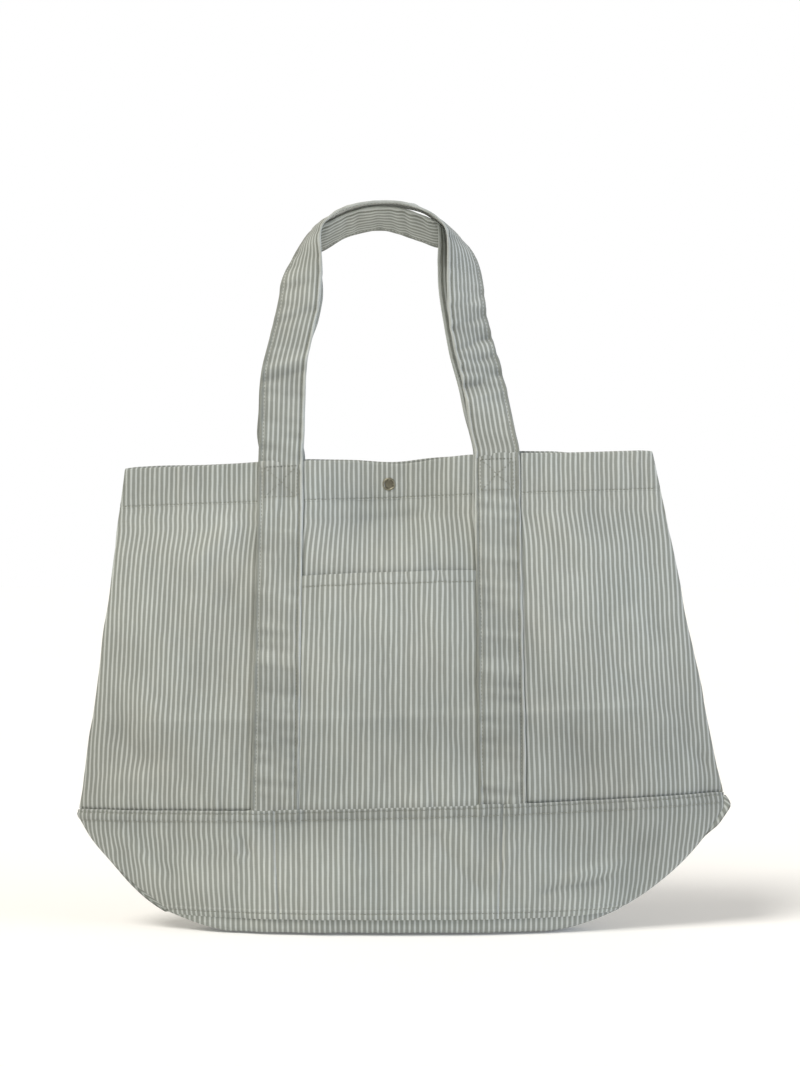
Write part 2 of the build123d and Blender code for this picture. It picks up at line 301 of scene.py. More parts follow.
# ---- meshes ----
def mesh_object(name, points, faces, uvs=None, wear_and_shade=None):
    """Make a smooth mesh object. Cloth has a map in metres, and a factor of wear and painted shade: 1 is
    plain, and less is darker.
    """
    mesh = bpy.data.meshes.new(name)
    mesh.from_pydata(points.tolist(), [], faces)
    if uvs is not None:
        layer = mesh.uv_layers.new(name="cloth")
        corner = np.zeros(len(mesh.loops), int)
        mesh.loops.foreach_get("vertex_index", corner)
        layer.data.foreach_set("uv", uvs[corner].astype(np.float32).ravel())
        mesh.attributes.new("wear_and_shade", "FLOAT", "POINT").data.foreach_set("value", wear_and_shade.astype(np.float32))
    mesh.polygons.foreach_set("use_smooth", [True] * len(mesh.polygons))
    mesh.update()
    piece = bpy.data.objects.new(name, mesh)
    bpy.context.scene.collection.objects.link(piece)
    return piece


def grid_faces(rows, cols, start=0, flip=False):
    """Quads of a grid of vertices."""
    n = start + np.arange(rows * cols).reshape(rows, cols)
    quads = np.stack([n[:-1, :-1], n[:-1, 1:], n[1:, 1:], n[1:, :-1]], axis=-1).reshape(-1, 4)
    return quads[:, ::-1] if flip else quads


def rim_loop(rows, cols):
    """Vertex numbers round the edge of a grid."""
    n = np.arange(rows * cols).reshape(rows, cols)
    return np.concatenate([n[0, :], n[1:, -1], n[-1, -2::-1], n[-2:0:-1, 0]])


def shell(name, outer, inner, uvs, wear_and_shade, cut=(False, False)):
    """A closed layer of cloth between two grids of points. Its edges are rounded, except that the
    first and the last column can be cut square, where the next piece of the same cloth goes on."""
    rows, cols = outer.shape[:2]
    count = rows * cols
    a, b = outer.reshape(-1, 3), inner.reshape(-1, 3)
    loop = rim_loop(rows, cols)
    r, c = np.divmod(loop, cols)
    inward = np.clip(r, 1, rows - 2) * cols + np.clip(c, 1, cols - 2)
    middle = (a + b) / 2
    away = middle[loop] - middle[inward]
    away /= np.maximum(np.linalg.norm(away, axis=1, keepdims=True), 1e-9)
    square = ((c == 0) & cut[0]) | ((c == cols - 1) & cut[1])
    away[square] = 0
    half = np.linalg.norm(a[loop] - b[loop], axis=1, keepdims=True) / 2
    rings = []
    for turn in (45, 90, 135):
        t = radians(turn)
        rings.append(middle[loop] + (a[loop] - middle[loop]) * cos(t) + away * half * sin(t))
    points = np.concatenate([a, b, *rings])
    flat = uvs.reshape(-1, 2)
    maps = np.concatenate([flat, flat, flat[loop], flat[loop], flat[loop]])
    worn_and_shaded = np.ravel(wear_and_shade)
    worn_and_shaded = np.concatenate([worn_and_shaded, worn_and_shaded, worn_and_shaded[loop], worn_and_shaded[loop], worn_and_shaded[loop]])
    faces = [grid_faces(rows, cols), grid_faces(rows, cols, count, flip=True)]
    size = len(loop)
    first = [loop] + [2 * count + k * size + np.arange(size) for k in range(3)] + [loop + count]
    for low, high in zip(first[:-1], first[1:]):
        faces.append(np.stack([low, high, np.roll(high, -1), np.roll(low, -1)], axis=-1))
    quads = np.concatenate(faces)
    piece = mesh_object(name, points, quads.tolist(), maps, worn_and_shaded)
    flat_faces = np.tile(square & np.roll(square, -1), 4)
    smooth_faces = np.concatenate([np.ones(len(quads) - flat_faces.size, bool), ~flat_faces])
    piece.data.polygons.foreach_set("use_smooth", smooth_faces)
    return oriented(piece)


def oriented(piece):
    """Turn a closed mesh's faces outward."""
    work = bmesh.new()
    work.from_mesh(piece.data)
    bmesh.ops.recalc_face_normals(work, faces=work.faces)
    work.to_mesh(piece.data)
    work.free()
    return piece


def cloth_map(points, start):
    """Metres across and along the cloth, for a grid of points whose first column is start metres
    from the middle stripe. The stripes fan out a little towards the base."""
    steps = gaps(points[..., :2], 1)
    across = np.concatenate([np.zeros((len(points), 1)), np.cumsum(steps, axis=1)], axis=1)
    down = np.clip((RIM - points[..., 2]) / (RIM - SEAM), 0, 1)
    return np.stack([(across + start) * (1 - 0.07 * down), points[..., 2]], axis=-1)


# ---- stitches ----
class Threads:
    """Collects stitches into one mesh."""

    def __init__(self):
        self.points, self.faces, self.count = [], [], 0

    def row(self, line, normals, length=2.5 * MM, gap=0.9 * MM, radius=0.3 * MM, sink=0.25 * MM):
        """Lay stitches end to end along a line of points."""
        run = distance_along(line)
        starts = np.arange(0.3 * gap, run[-1] - length, length + gap)
        if not len(starts):
            return
        at = np.linspace(0, 1, 5)
        where = starts[:, None] + at[None, :] * length
        spots = np.stack([np.interp(where, run, line[:, k]) for k in range(3)], axis=-1)
        ups = np.stack([np.interp(where, run, normals[:, k]) for k in range(3)], axis=-1)
        ups /= np.linalg.norm(ups, axis=-1, keepdims=True)
        ahead = np.gradient(spots, axis=1)
        ahead /= np.linalg.norm(ahead, axis=-1, keepdims=True)
        sides = np.cross(ahead, ups)
        lift = np.array([-0.6, 0.55, 0.8, 0.55, -0.6]) * radius - sink * np.array([1, 0, 0, 0, 1])
        thick = np.array([0.45, 0.95, 1.05, 0.95, 0.45]) * radius
        spots = spots + ups * lift[None, :, None]
        angles = np.arange(6) * pi / 3
        ring = (
            spots[:, :, None, :]
            + sides[:, :, None, :] * (np.cos(angles)[None, None, :, None] * thick[None, :, None, None])
            + ups[:, :, None, :] * (np.sin(angles)[None, None, :, None] * thick[None, :, None, None])
        )
        for stitch in ring:
            n = self.count + np.arange(30).reshape(5, 6)
            side_faces = np.stack([n[:-1], np.roll(n, -1, 1)[:-1], np.roll(n, -1, 1)[1:], n[1:]], axis=-1)
            self.faces += side_faces.reshape(-1, 4).tolist() + [n[0, ::-1].tolist(), n[-1].tolist()]
            self.points.append(stitch.reshape(-1, 3))
            self.count += 30

    def wall_row(self, xs, zs, side, out, **options):
        """Stitch along a line on a wall, at that height out from it."""
        xs, zs = np.broadcast_arrays(np.asarray(xs, float), np.asarray(zs, float))
        line = on_wall(xs, zs, side, np.broadcast_to(out, xs.shape))
        self.row(line, normals_of(xs, zs, side), **options)

    def piece(self, name):
        piece = mesh_object(name, np.concatenate(self.points), self.faces)
        dress(piece, THREAD)
        return piece


# ---- materials ----
def linear(hex_colour):
    """An sRGB hex colour as linear RGBA."""
    parts = [int(hex_colour[k : k + 2], 16) / 255 for k in (1, 3, 5)]
    return tuple(p / 12.92 if p <= 0.04045 else ((p + 0.055) / 1.055) ** 2.4 for p in parts) + (1.0,)


COLOURS = {"data_type": "RGBA"}  # a mix of two colours, which are its inputs 6 and 7


def plug(tree, node, **inputs):
    """Set a node's inputs. Each is named, or numbered as i0, i1 and so on, and takes a value, an
    output to link, or a node whose first output is linked."""
    for key, value in inputs.items():
        numbered = key[0] == "i" and key[1:].isdigit()
        socket = node.inputs[int(key[1:]) if numbered else key.replace("_", " ")]
        if isinstance(value, bpy.types.Node):
            value = value.outputs[0]
        if isinstance(value, bpy.types.NodeSocket):
            tree.links.new(value, socket)
        else:
            socket.default_value = value


def add(tree, kind, settings=None, **inputs):
    """Add a node with its settings, and set or link its inputs."""
    node = tree.nodes.new(kind)
    for key, value in (settings or {}).items():
        setattr(node, key, value)
    plug(tree, node, **inputs)
    return node


def start_material(name):
    material = bpy.data.materials.new(name)
    material.use_nodes = True
    tree = material.node_tree
    return material, tree, tree.nodes["Principled BSDF"]


def woven_striped_cotton(name, turn=0.0):
    """Yarn-dyed cotton, plain woven: sage and off-white stripes with soft hairy edges, uneven
    yarns that show as fine streaks, and a slightly washed, creased look. It has no gloss."""
    material, tree, shader = start_material(name)
    cloth = add(tree, "ShaderNodeUVMap", {"uv_map": "cloth"})
    if turn:
        cloth = add(tree, "ShaderNodeVectorRotate", {"rotation_type": "Z_AXIS"}, Vector=cloth, Angle=turn)
    axes = add(tree, "ShaderNodeSeparateXYZ", i0=cloth)
    across, along = axes.outputs[0], axes.outputs[1]
    # stripes whose edges wander by a yarn or so
    wide = add(tree, "ShaderNodeMapping", i0=cloth, Scale=(1 / (1.3 * MM), 1 / (20 * MM), 1))
    wobble = add(tree, "ShaderNodeTexNoise", i0=wide, Scale=1.0, Detail=3.0)
    stripe = add(tree, "ShaderNodeMath", {"operation": "DIVIDE"}, i0=across, i1=STRIPE)
    shift = add(tree, "ShaderNodeMath", {"operation": "MULTIPLY_ADD"}, i0=wobble, i1=0.16, i2=stripe)
    saw = add(tree, "ShaderNodeMath", {"operation": "FRACT"}, i0=shift)
    centred = add(tree, "ShaderNodeMath", {"operation": "SUBTRACT"}, i0=saw, i1=0.5)
    tent = add(tree, "ShaderNodeMath", {"operation": "ABSOLUTE"}, i0=centred)
    soft = {"interpolation_type": "SMOOTHSTEP"}
    pale = add(tree, "ShaderNodeMapRange", soft, Value=tent, i1=0.21, i2=0.41)
    # uneven yarns, 0.5 mm apart and streaked along their length
    yarn_space = add(tree, "ShaderNodeMapping", i0=cloth, Scale=(1 / (0.5 * MM), 1 / (18 * MM), 1))
    yarn = add(tree, "ShaderNodeTexNoise", i0=yarn_space, Scale=1.0, Detail=4.0, Roughness=0.65)
    weft_space = add(tree, "ShaderNodeMapping", i0=cloth, Scale=(1 / (9 * MM), 1 / (0.6 * MM), 1))
    weft = add(tree, "ShaderNodeTexNoise", i0=weft_space, Scale=1.0, Detail=3.0, Roughness=0.6)
    wash = add(tree, "ShaderNodeTexNoise", i0=cloth, Scale=11.0, Detail=3.0, Roughness=0.5)
    sage = add(tree, "ShaderNodeMix", COLOURS, Factor=wash, i6=linear("#868c87"), i7=linear("#8f918a"))
    white = add(tree, "ShaderNodeMix", COLOURS, Factor=wash, i6=linear("#b9c1c0"), i7=linear("#bfc1ba"))
    stripes = add(tree, "ShaderNodeMix", COLOURS, Factor=pale, i6=sage.outputs[2], i7=white.outputs[2])
    weft_tone = add(tree, "ShaderNodeMath", {"operation": "MULTIPLY_ADD"}, i0=weft, i1=0.2, i2=0.73)
    tone = add(tree, "ShaderNodeMath", {"operation": "MULTIPLY_ADD"}, i0=yarn, i1=0.34, i2=weft_tone)
    # the cloth's wear and painted shade, from the mesh: it darkens hollows, seams and puckers and lightens
    # crests
    wear_and_shade = add(tree, "ShaderNodeAttribute", {"attribute_name": "wear_and_shade"}).outputs["Fac"]
    worn_and_shaded = add(tree, "ShaderNodeMath", {"operation": "MULTIPLY"}, i0=tone, i1=wear_and_shade)
    shaded = add(tree, "ShaderNodeVectorMath", {"operation": "SCALE"}, i0=stripes.outputs[2], Scale=worn_and_shaded)
    # plain weave: warp and weft cross over each other, drawn a little coarser than it is
    waves = []
    for axis in (across, along):
        phase = add(tree, "ShaderNodeMath", {"operation": "MULTIPLY"}, i0=axis, i1=2 * pi / WEAVE)
        waves.append(add(tree, "ShaderNodeMath", {"operation": "SINE"}, i0=phase))
    weave = add(tree, "ShaderNodeMath", {"operation": "MULTIPLY"}, i0=waves[0], i1=waves[1])
    yarns = add(tree, "ShaderNodeMath", {"operation": "ADD"}, i0=yarn, i1=weft)
    height = add(tree, "ShaderNodeMath", {"operation": "MULTIPLY_ADD"}, i0=weave, i1=0.5, i2=yarns)
    relief = add(tree, "ShaderNodeBump", Strength=0.55, Distance=0.22 * MM, Height=height)
    plug(tree, shader, Base_Color=shaded, Normal=relief, Roughness=0.92, Specular_IOR_Level=0.22)
    plug(tree, shader, Sheen_Weight=0.18, Sheen_Roughness=0.5)
    return material


def woven_tape():
    """Undyed cotton tape: close herringbone ribs about 1 mm apart, matt."""
    material, tree, shader = start_material("cotton_tape")
    place = add(tree, "ShaderNodeTexCoord").outputs["Object"]
    ribs = add(tree, "ShaderNodeTexWave", i0=place, Scale=320.0, Distortion=1.5, Detail=2.0).outputs[1]
    colour = add(tree, "ShaderNodeMix", COLOURS, Factor=ribs, i6=linear("#b9bbae"), i7=linear("#d3d4c8"))
    relief = add(tree, "ShaderNodeBump", Strength=0.5, Distance=0.3 * MM, Height=ribs)
    plug(tree, shader, Base_Color=colour.outputs[2], Normal=relief, Roughness=0.9)
    return material


def sewing_thread():
    """Spun polyester thread in grey-sage: two plies twisted, a little brighter than the cloth."""
    material, tree, shader = start_material("spun_thread")
    place = add(tree, "ShaderNodeTexCoord").outputs["Object"]
    twist = {"bands_direction": "DIAGONAL"}
    plies = add(tree, "ShaderNodeTexWave", twist, i0=place, Scale=900.0, Distortion=2.0).outputs[1]
    colour = add(tree, "ShaderNodeMix", COLOURS, Factor=plies, i6=linear("#6d7066"), i7=linear("#96988c"))
    relief = add(tree, "ShaderNodeBump", Strength=0.6, Distance=0.1 * MM, Height=plies)
    plug(tree, shader, Base_Color=colour.outputs[2], Normal=relief, Roughness=0.6)
    return material


def antique_brass():
    """Plated brass with an antique finish: dark in the hollows, rubbed bright on raised edges."""
    material, tree, shader = start_material("antique_brass")
    place = add(tree, "ShaderNodeTexCoord").outputs["Object"]
    stain = add(tree, "ShaderNodeTexNoise", i0=place, Scale=700.0, Detail=4.0, Roughness=0.6)
    rubbed = add(tree, "ShaderNodeNewGeometry").outputs["Pointiness"]
    edge = add(tree, "ShaderNodeMapRange", Value=rubbed, i1=0.47, i2=0.58)
    edge_share = add(tree, "ShaderNodeMath", {"operation": "MULTIPLY"}, i0=edge, i1=0.6)
    bright = add(tree, "ShaderNodeMath", {"operation": "MULTIPLY_ADD"}, i0=stain, i1=0.5, i2=edge_share)
    colour = add(tree, "ShaderNodeMix", COLOURS, Factor=bright, i6=linear("#45433a"), i7=linear("#9d9a89"))
    rough = add(tree, "ShaderNodeMapRange", Value=stain, i3=0.3, i4=0.52)
    plug(tree, shader, Base_Color=colour.outputs[2], Roughness=rough, Metallic=1.0)
    return material


COTTON = woven_striped_cotton("woven_striped_cotton")
COTTON_BIAS = woven_striped_cotton("woven_striped_cotton_on_the_bias", turn=radians(48))
TAPE = woven_tape()
THREAD = sewing_thread()
METAL = antique_brass()


# ---- fastening pieces to the frame ----
def dress(piece, material):
    piece.data.materials.clear()
    piece.data.materials.append(material)


def hold(piece, wall, zone_sign):
    """The middle third moves with its wall. Each outer third keeps its place, with its transform baked in."""
    if zone_sign == 0:
        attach(piece, f"{wall}_wall")
        return
    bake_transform(piece)


def spaced(low, high, step):
    """Evenly spaced values, about step apart."""
    return np.linspace(low, high, max(2, int(round(abs(high - low) / step)) + 1))


BESIDE_LINE = np.array([-1.5, -0.9, -0.4, 0, 0.4, 0.9, 1.5]) * MM


def levels(low, high, step, lines=()):
    """Values about step apart, and closer together beside each line of stitching."""
    close = np.ravel([line + BESIDE_LINE for line in lines])
    close = close[(close > low) & (close < high)]
    return np.unique(np.concatenate([spaced(low, high, step), close]).round(6))


def third(zone_sign, z, reach):
    """x and z of a grid over one third of a wall, out to reach metres inside the side seam."""
    edge = half_width(z)[:, None] - reach
    if zone_sign == 0:
        inner_edge = STRAP_X - STRAP_HALF
        columns = levels(-STRAP_X, STRAP_X, CELL, (-inner_edge, inner_edge))
        x = np.broadcast_to(columns, (len(z), columns.size))
    else:
        beside = levels(STRAP_X, STRAP_X + STRAP_HALF + 6 * MM, CELL, (STRAP_X + STRAP_HALF,))
        last = beside[-1]
        t = spaced(0, 1, CELL / (CORNER_HALF_WIDTH - last))[None, 1:]
        x = np.concatenate([np.broadcast_to(beside, (len(z), beside.size)), last + (edge - last) * t], axis=1)
        x = zone_sign * x[:, ::zone_sign]
    return x, np.broadcast_to(z[:, None], x.shape)


def row_steps(x, z, side):
    """Metres of cloth from each column of a grid on a wall to the next."""
    return gaps(surface(x, z, side)[..., :2], 1)


def wall_sheet(name, side, x, z, outer, inner, material, start, held="hung", wear_and_shade=0.0, cut=(False, False)):
    """A layer of cloth on a wall, over a grid of x and z, with its faces outer and inner metres out."""
    middle = surface(x, z, side)
    normals = normals_of(x, z, side)
    uvs = cloth_map(middle, start)
    faces = [middle + normals * np.broadcast_to(face, x.shape)[..., None] for face in (outer, inner)]
    piece = shell(name, *faces, uvs, wall_wear_and_shade(x, z, side) + wear_and_shade, cut)
    dress(piece, material)
    return piece


def layer(name, node, wall, side, z, outer, inner, material=COTTON, reach=0.0, held="hung"):
    """A layer right across a wall, in thirds that meet under the straps."""
    grids = [third(sign, z, reach(sign, z)[:, None] if callable(reach) else reach) for _, sign in ZONES]
    left, centre, _ = [row_steps(*grid, side) for grid in grids]
    middle = centre.shape[1] // 2
    before = -centre[:, :middle].sum(axis=1, keepdims=True)
    starts = (before - left.sum(axis=1, keepdims=True), before, before + centre.sum(axis=1, keepdims=True))
    cuts = ((False, True), (True, True), (True, False))
    for (zone, sign), (x, zz), start, cut in zip(ZONES, grids, starts, cuts):
        faces = outer(x, zz), inner(x, zz)
        piece = wall_sheet(f"{wall}_{name}_{zone}", side, x, zz, *faces, material, start, held, cut=cut)
        if sign == 0:
            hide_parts(f"{wall}_{node}")
        hold(piece, wall, sign)


def near_side(x, z, reach=5 * MM):
    """1 at the side seam, falling to 0 at reach inside it."""
    return smooth(1 - (half_width(z) - np.abs(x)) / reach)


# ---- panels, hems and bands ----
HEM_ROLL = 3 * MM
BAND_FOLD = 9 * MM
HEM_ROW = HEM + 1.5 * MM  # the lines of stitching, by their height
BAND_ROW = CREASE + 5 * MM
SEAM_ROWS = (2.6 * MM, 9.5 * MM)  # below the base seam
SEAM_GAP = 0.5 * MM


def stitch_groove(distance):
    """Cloth pulled in along a line of stitching."""
    return 0.55 * MM * bump(distance / (0.9 * MM))


def panel_outer(x, z):
    """Doubled at the hem, pulled in at its stitching, tucked in at the base seam and by the straps."""
    hem = 0.5 * MM * smooth((z - HEM + 0.5 * MM) / (1 * MM)) - stitch_groove(z - HEM_ROW)
    tuck = 1.6 * MM * bump((z - SEAM) / (2.2 * MM))
    strap = 0.8 * MM * bump((np.abs(np.abs(x) - STRAP_X) - STRAP_HALF - 0.3 * MM) / (1.5 * MM))
    return PANEL_OUT + hem - tuck - strap - 1.0 * MM * near_side(x, z)


def panel_inner(x, z):
    """The top edge is turned in over the facing."""
    turned = (LINING_IN - PANEL_IN) * smooth((z - RIM + HEM_ROLL) / (0.6 * MM))
    tuck = 1.6 * MM * bump((z - SEAM) / (2.2 * MM))
    return PANEL_IN - tuck + turned * (1 - near_side(x, z, 12 * MM)) - 0.7 * MM * near_side(x, z)


def band_outer(x, z):
    """Doubled at its lower edge, and humped over the straps' ends at its top edge."""
    strap_end = smooth((STRAP_HALF + 5 * MM - np.abs(np.abs(x) - STRAP_X)) / (5 * MM))
    hump = 1.9 * MM * strap_end * smooth((z - SEAM + 16 * MM) / (12 * MM))
    fold = 0.6 * MM * smooth((CREASE + BAND_FOLD - z) / (1.2 * MM))
    lip = 0.9 * MM * smooth((z - SEAM + 11 * MM) / (1.6 * MM))
    grooves = sum(stitch_groove(z - SEAM + down) for down in SEAM_ROWS) + stitch_groove(z - BAND_ROW)
    return PANEL_OUT + hump + fold + lip - grooves - 1.2 * MM * near_side(x, z)


def band_inner(x, z):
    return PANEL_IN - 0.7 * MM * near_side(x, z)


def band_reach(sign, z):
    """The left end of the lower band is cut back, so that the corner fold shows."""
    return 9 * MM * smooth((62 * MM - z) / (34 * MM)) * (sign < 0)


def lining_outer(x, z):
    return LINING_OUT + 0 * x


def lining_inner(x, z):
    return LINING_IN + 0 * x


def tape_outer(x, z):
    return lining_outer(x, z) - 1 * MM - 1.2 * MM * bump((z - SEAM) / (3 * MM))


def tape_inner(x, z):
    return tape_outer(x, z) - 1 * MM


for wall, side in WALLS:
    rows = levels(SEAM + SEAM_GAP, RIM, CELL, (SEAM + 1.5 * MM, HEM, HEM_ROW, RIM - HEM_ROLL))
    layer("panel_cloth", "panel", wall, side, rows, panel_outer, panel_inner)
    rows = spaced(HEM, RIM - HEM_ROLL - 0.2 * MM, CELL)
    layer("facing_cloth", "top_facing", wall, side, rows, lining_outer, lining_inner, reach=9 * MM)
    rows = spaced(SEAM - 6 * MM, SEAM + 14 * MM, CELL)
    tape = {"material": TAPE, "reach": 20 * MM, "held": "folded"}
    layer("seam_tape", "seam_binding", wall, side, rows, tape_outer, tape_inner, **tape)
    stitched = [SEAM - down for down in (*SEAM_ROWS, 1.5 * MM, 10.5 * MM)]
    rows = levels(CREASE, SEAM - SEAM_GAP, CELL, stitched + [BAND_ROW, CREASE + BAND_FOLD])
    band = {"reach": band_reach, "held": "folded"}
    layer("band_cloth", "lower_band", wall, side, rows, band_outer, band_inner, **band)


# ---- topstitching on the walls ----
def third_line(sign, z, reach):
    """x along a level line over one third of a wall."""
    edge = float(half_width(z)) - reach
    ends = {0: (-STRAP_X, STRAP_X), -1: (-edge, -STRAP_X), 1: (STRAP_X, edge)}[sign]
    return spaced(*ends, 1.5 * MM)


STITCHED = {
    "hem_stitch": ((HEM_ROW, panel_outer),),
    "base_seam_stitch": tuple((SEAM - down, band_outer) for down in SEAM_ROWS),
    "band_edge_stitch": ((BAND_ROW, band_outer),),
}
for wall, side in WALLS:
    for zone, sign in ZONES:
        for label, rows in STITCHED.items():
            threads = Threads()
            for z, face in rows:
                xs = third_line(sign, z, 4 * MM + float(band_reach(sign, z)))
                threads.wall_row(xs, z, side, face(xs, z + 0 * xs))
            hold(threads.piece(f"{wall}_{label}_{zone}"), wall, sign)


# ---- the straps' sewn legs ----
STRAP_EDGE_ROW = 2.8 * MM
STRAP_LINES = (-STRAP_HALF + STRAP_EDGE_ROW, STRAP_HALF - STRAP_EDGE_ROW)
STRAP_THICK = STRAP_OUT - STRAP_IN
STRAP_STRIPE = 1.3 * MM  # where the stripes stand in the strap
BOX_HALF = 15.5 * MM
# The box and its cross, as a path over its corners: left or right, and low or high.
CROSSED_BOX = ((-1, 0), (1, 0), (1, 1), (-1, 1), (-1, 0), (1, 1), (-1, 1), (1, 0))


def strap_puckers(across, along, seed):
    """Short creases across a strap, from one row of stitching to the other, about -1 to 1."""
    edge = STRAP_HALF - np.abs(across)
    creases = field(across + 0.25 * along, along + 0.12 * across, 38 * MM, 6.5 * MM, seed)
    return creases * smooth((edge - 0.2 * MM) / (1.5 * MM)) * smooth(1.7 - edge / (17 * MM))


def strap_relief(across, along, seed):
    """The outer face of a strap: pulled in along its edge stitching, with puckers between."""
    edge = STRAP_HALF - np.abs(across)
    slack = 0.5 * MM * field(across, along, 15 * MM, 22 * MM, seed + 1)
    return slack + 1.05 * MM * strap_puckers(across, along, seed) - stitch_groove(edge - STRAP_EDGE_ROW)


def strap_shade_and_tone(across, along, seed):
    """Darker between and along the rows of stitching, paler on the crests of the puckers: painted shade in
    the stitching grooves and the puckers' hollows, and painted highlights on their crests.
    """
    edge = STRAP_HALF - np.abs(across)
    # painted shade in the grooves of the edge stitching
    rows = 0.08 * bump((edge - STRAP_EDGE_ROW) / (1.6 * MM))
    # painted shade and highlights on the puckers, and a little darker all over
    return 0.12 * strap_puckers(across, along, seed) - rows - 0.03


def strap_leg(wall, side, end, sign):
    """A strap's leg, sewn down from the rim to the base seam, where its end is tucked in."""
    z = spaced(SEAM - 6 * MM, RIM + 1 * MM, 2.2 * MM)[:, None]
    across = levels(-STRAP_HALF, STRAP_HALF, 2.5 * MM, STRAP_LINES)[None, :]
    across, z = np.broadcast_arrays(across, z)
    x = sign * STRAP_X + across
    seed = 20 + sign + 3 * side
    tucked = 1.6 * MM * smooth((SEAM + 4 * MM - z) / (8 * MM))
    faces = STRAP_OUT + strap_relief(across, z, seed) - tucked, STRAP_IN - tucked
    worn_and_shaded = strap_shade_and_tone(across, z, seed) - 0.02
    first = STRAP_STRIPE if sign < 0 else -STRAP_STRIPE - 2 * STRAP_HALF
    piece = wall_sheet(f"{wall}_{end}_strap_leg_cloth", side, x, z, *faces, COTTON, first, "folded", worn_and_shaded)
    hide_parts(f"{wall}_{end}_strap_leg")
    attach(piece, f"{wall}_wall")


def strap_stitching(wall, side, end, sign):
    """A row along each edge of a strap's leg, and a crossed box that holds it to the hem."""
    seed = 20 + sign + 3 * side
    threads = Threads()
    line = spaced(SEAM + 2 * MM, RIM - 2 * MM, 1.5 * MM)
    for at in STRAP_LINES:
        threads.wall_row(sign * STRAP_X + at, line, side, STRAP_OUT + strap_relief(at + 0 * line, line, seed))
    heights = (HEM + 4.5 * MM, RIM - 4.5 * MM)
    corners = [(sign * STRAP_X + hand * BOX_HALF, heights[up]) for hand, up in CROSSED_BOX]
    t = spaced(0, 1, 0.04)
    for (x0, z0), (x1, z1) in zip(corners[:-1], corners[1:]):
        xs, zs = x0 + (x1 - x0) * t, z0 + (z1 - z0) * t
        threads.wall_row(xs, zs, side, STRAP_OUT + strap_relief(xs - sign * STRAP_X, zs, seed))
    piece = threads.piece(f"{wall}_{end}_strap_stitching")
    if end == "left":
        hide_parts(f"{wall}_cross_stitch")
    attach(piece, f"{wall}_wall")


for wall, side in WALLS:
    for end, sign in ENDS:
        strap_leg(wall, side, end, sign)
        strap_stitching(wall, side, end, sign)


# ---- pocket ----
POCKET_HALF = STRAP_X - STRAP_HALF - 0.3 * MM
POCKET_ROW = POCKET_TOP - 9.5 * MM


def pocket_gap(x, z):
    """How far the pocket's inner face stands off the wall: slack at its open edge."""
    rise = np.clip((z - SEAM) / (POCKET_TOP - SEAM), 0, 1)
    belly = 1 - np.clip(np.abs(x) / POCKET_HALF, 0, 1) ** 4
    ripple = 0.5 * MM * field(x, z, 26 * MM, 80 * MM, 91)
    return PANEL_OUT + 0.4 * MM + (4.2 * MM * rise**3 + ripple * rise) * belly


def pocket_face(x, z):
    hem = 0.6 * MM * smooth((z - POCKET_ROW + 1 * MM) / (1 * MM)) - stitch_groove(z - POCKET_ROW)
    edge = 0.6 * MM * smooth(1 - (POCKET_HALF - np.abs(x)) / (2.5 * MM))
    return pocket_gap(x, z) + 1.0 * MM + hem - edge


def pocket():
    """A patch pocket between the straps, with a hemmed open edge."""
    z = levels(SEAM - 4 * MM, POCKET_TOP, CELL, (POCKET_ROW, POCKET_ROW - 1 * MM, POCKET_TOP - 1.5 * MM))
    x = levels(-POCKET_HALF, POCKET_HALF, CELL, (1.5 * MM - POCKET_HALF, POCKET_HALF - 1.5 * MM))[None, :]
    x, z = np.broadcast_arrays(x, z[:, None])
    tucked = 1.4 * MM * smooth((SEAM + 3 * MM - z) / (6 * MM))
    faces = pocket_face(x, z) - tucked, pocket_gap(x, z) - tucked
    piece = wall_sheet("front_pocket_cloth", -1, x, z, *faces, COTTON, 0.9 * MM - POCKET_HALF)
    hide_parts("front_pocket")
    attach(piece, "front_wall")
    threads = Threads()
    line = spaced(-POCKET_HALF + 1 * MM, POCKET_HALF - 1 * MM, 1.5 * MM)
    threads.wall_row(line, POCKET_ROW, -1, pocket_face(line, POCKET_ROW + 0 * line))
    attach(threads.piece("front_pocket_stitching"), "front_wall")


pocket()


# ---- base: bottom panel, corner folds and side bindings ----
LIP = CREASE + 5 * MM
KEEL_START = 146 * MM
BOTTOM_HALF = 212 * MM
BOTTOM_SQUARENESS = 0.34  # of its section: 1 is an ellipse, and less is nearer to a box
BOTTOM_THICK = 1.1 * MM


def bottom_height(x):
    """The underside rises towards the two ends."""
    rise = np.clip((np.abs(x) - KEEL_START) / (BOTTOM_HALF + 8 * MM - KEEL_START), 0, 1)
    return 0.4 * MM + LIP * rise**1.5


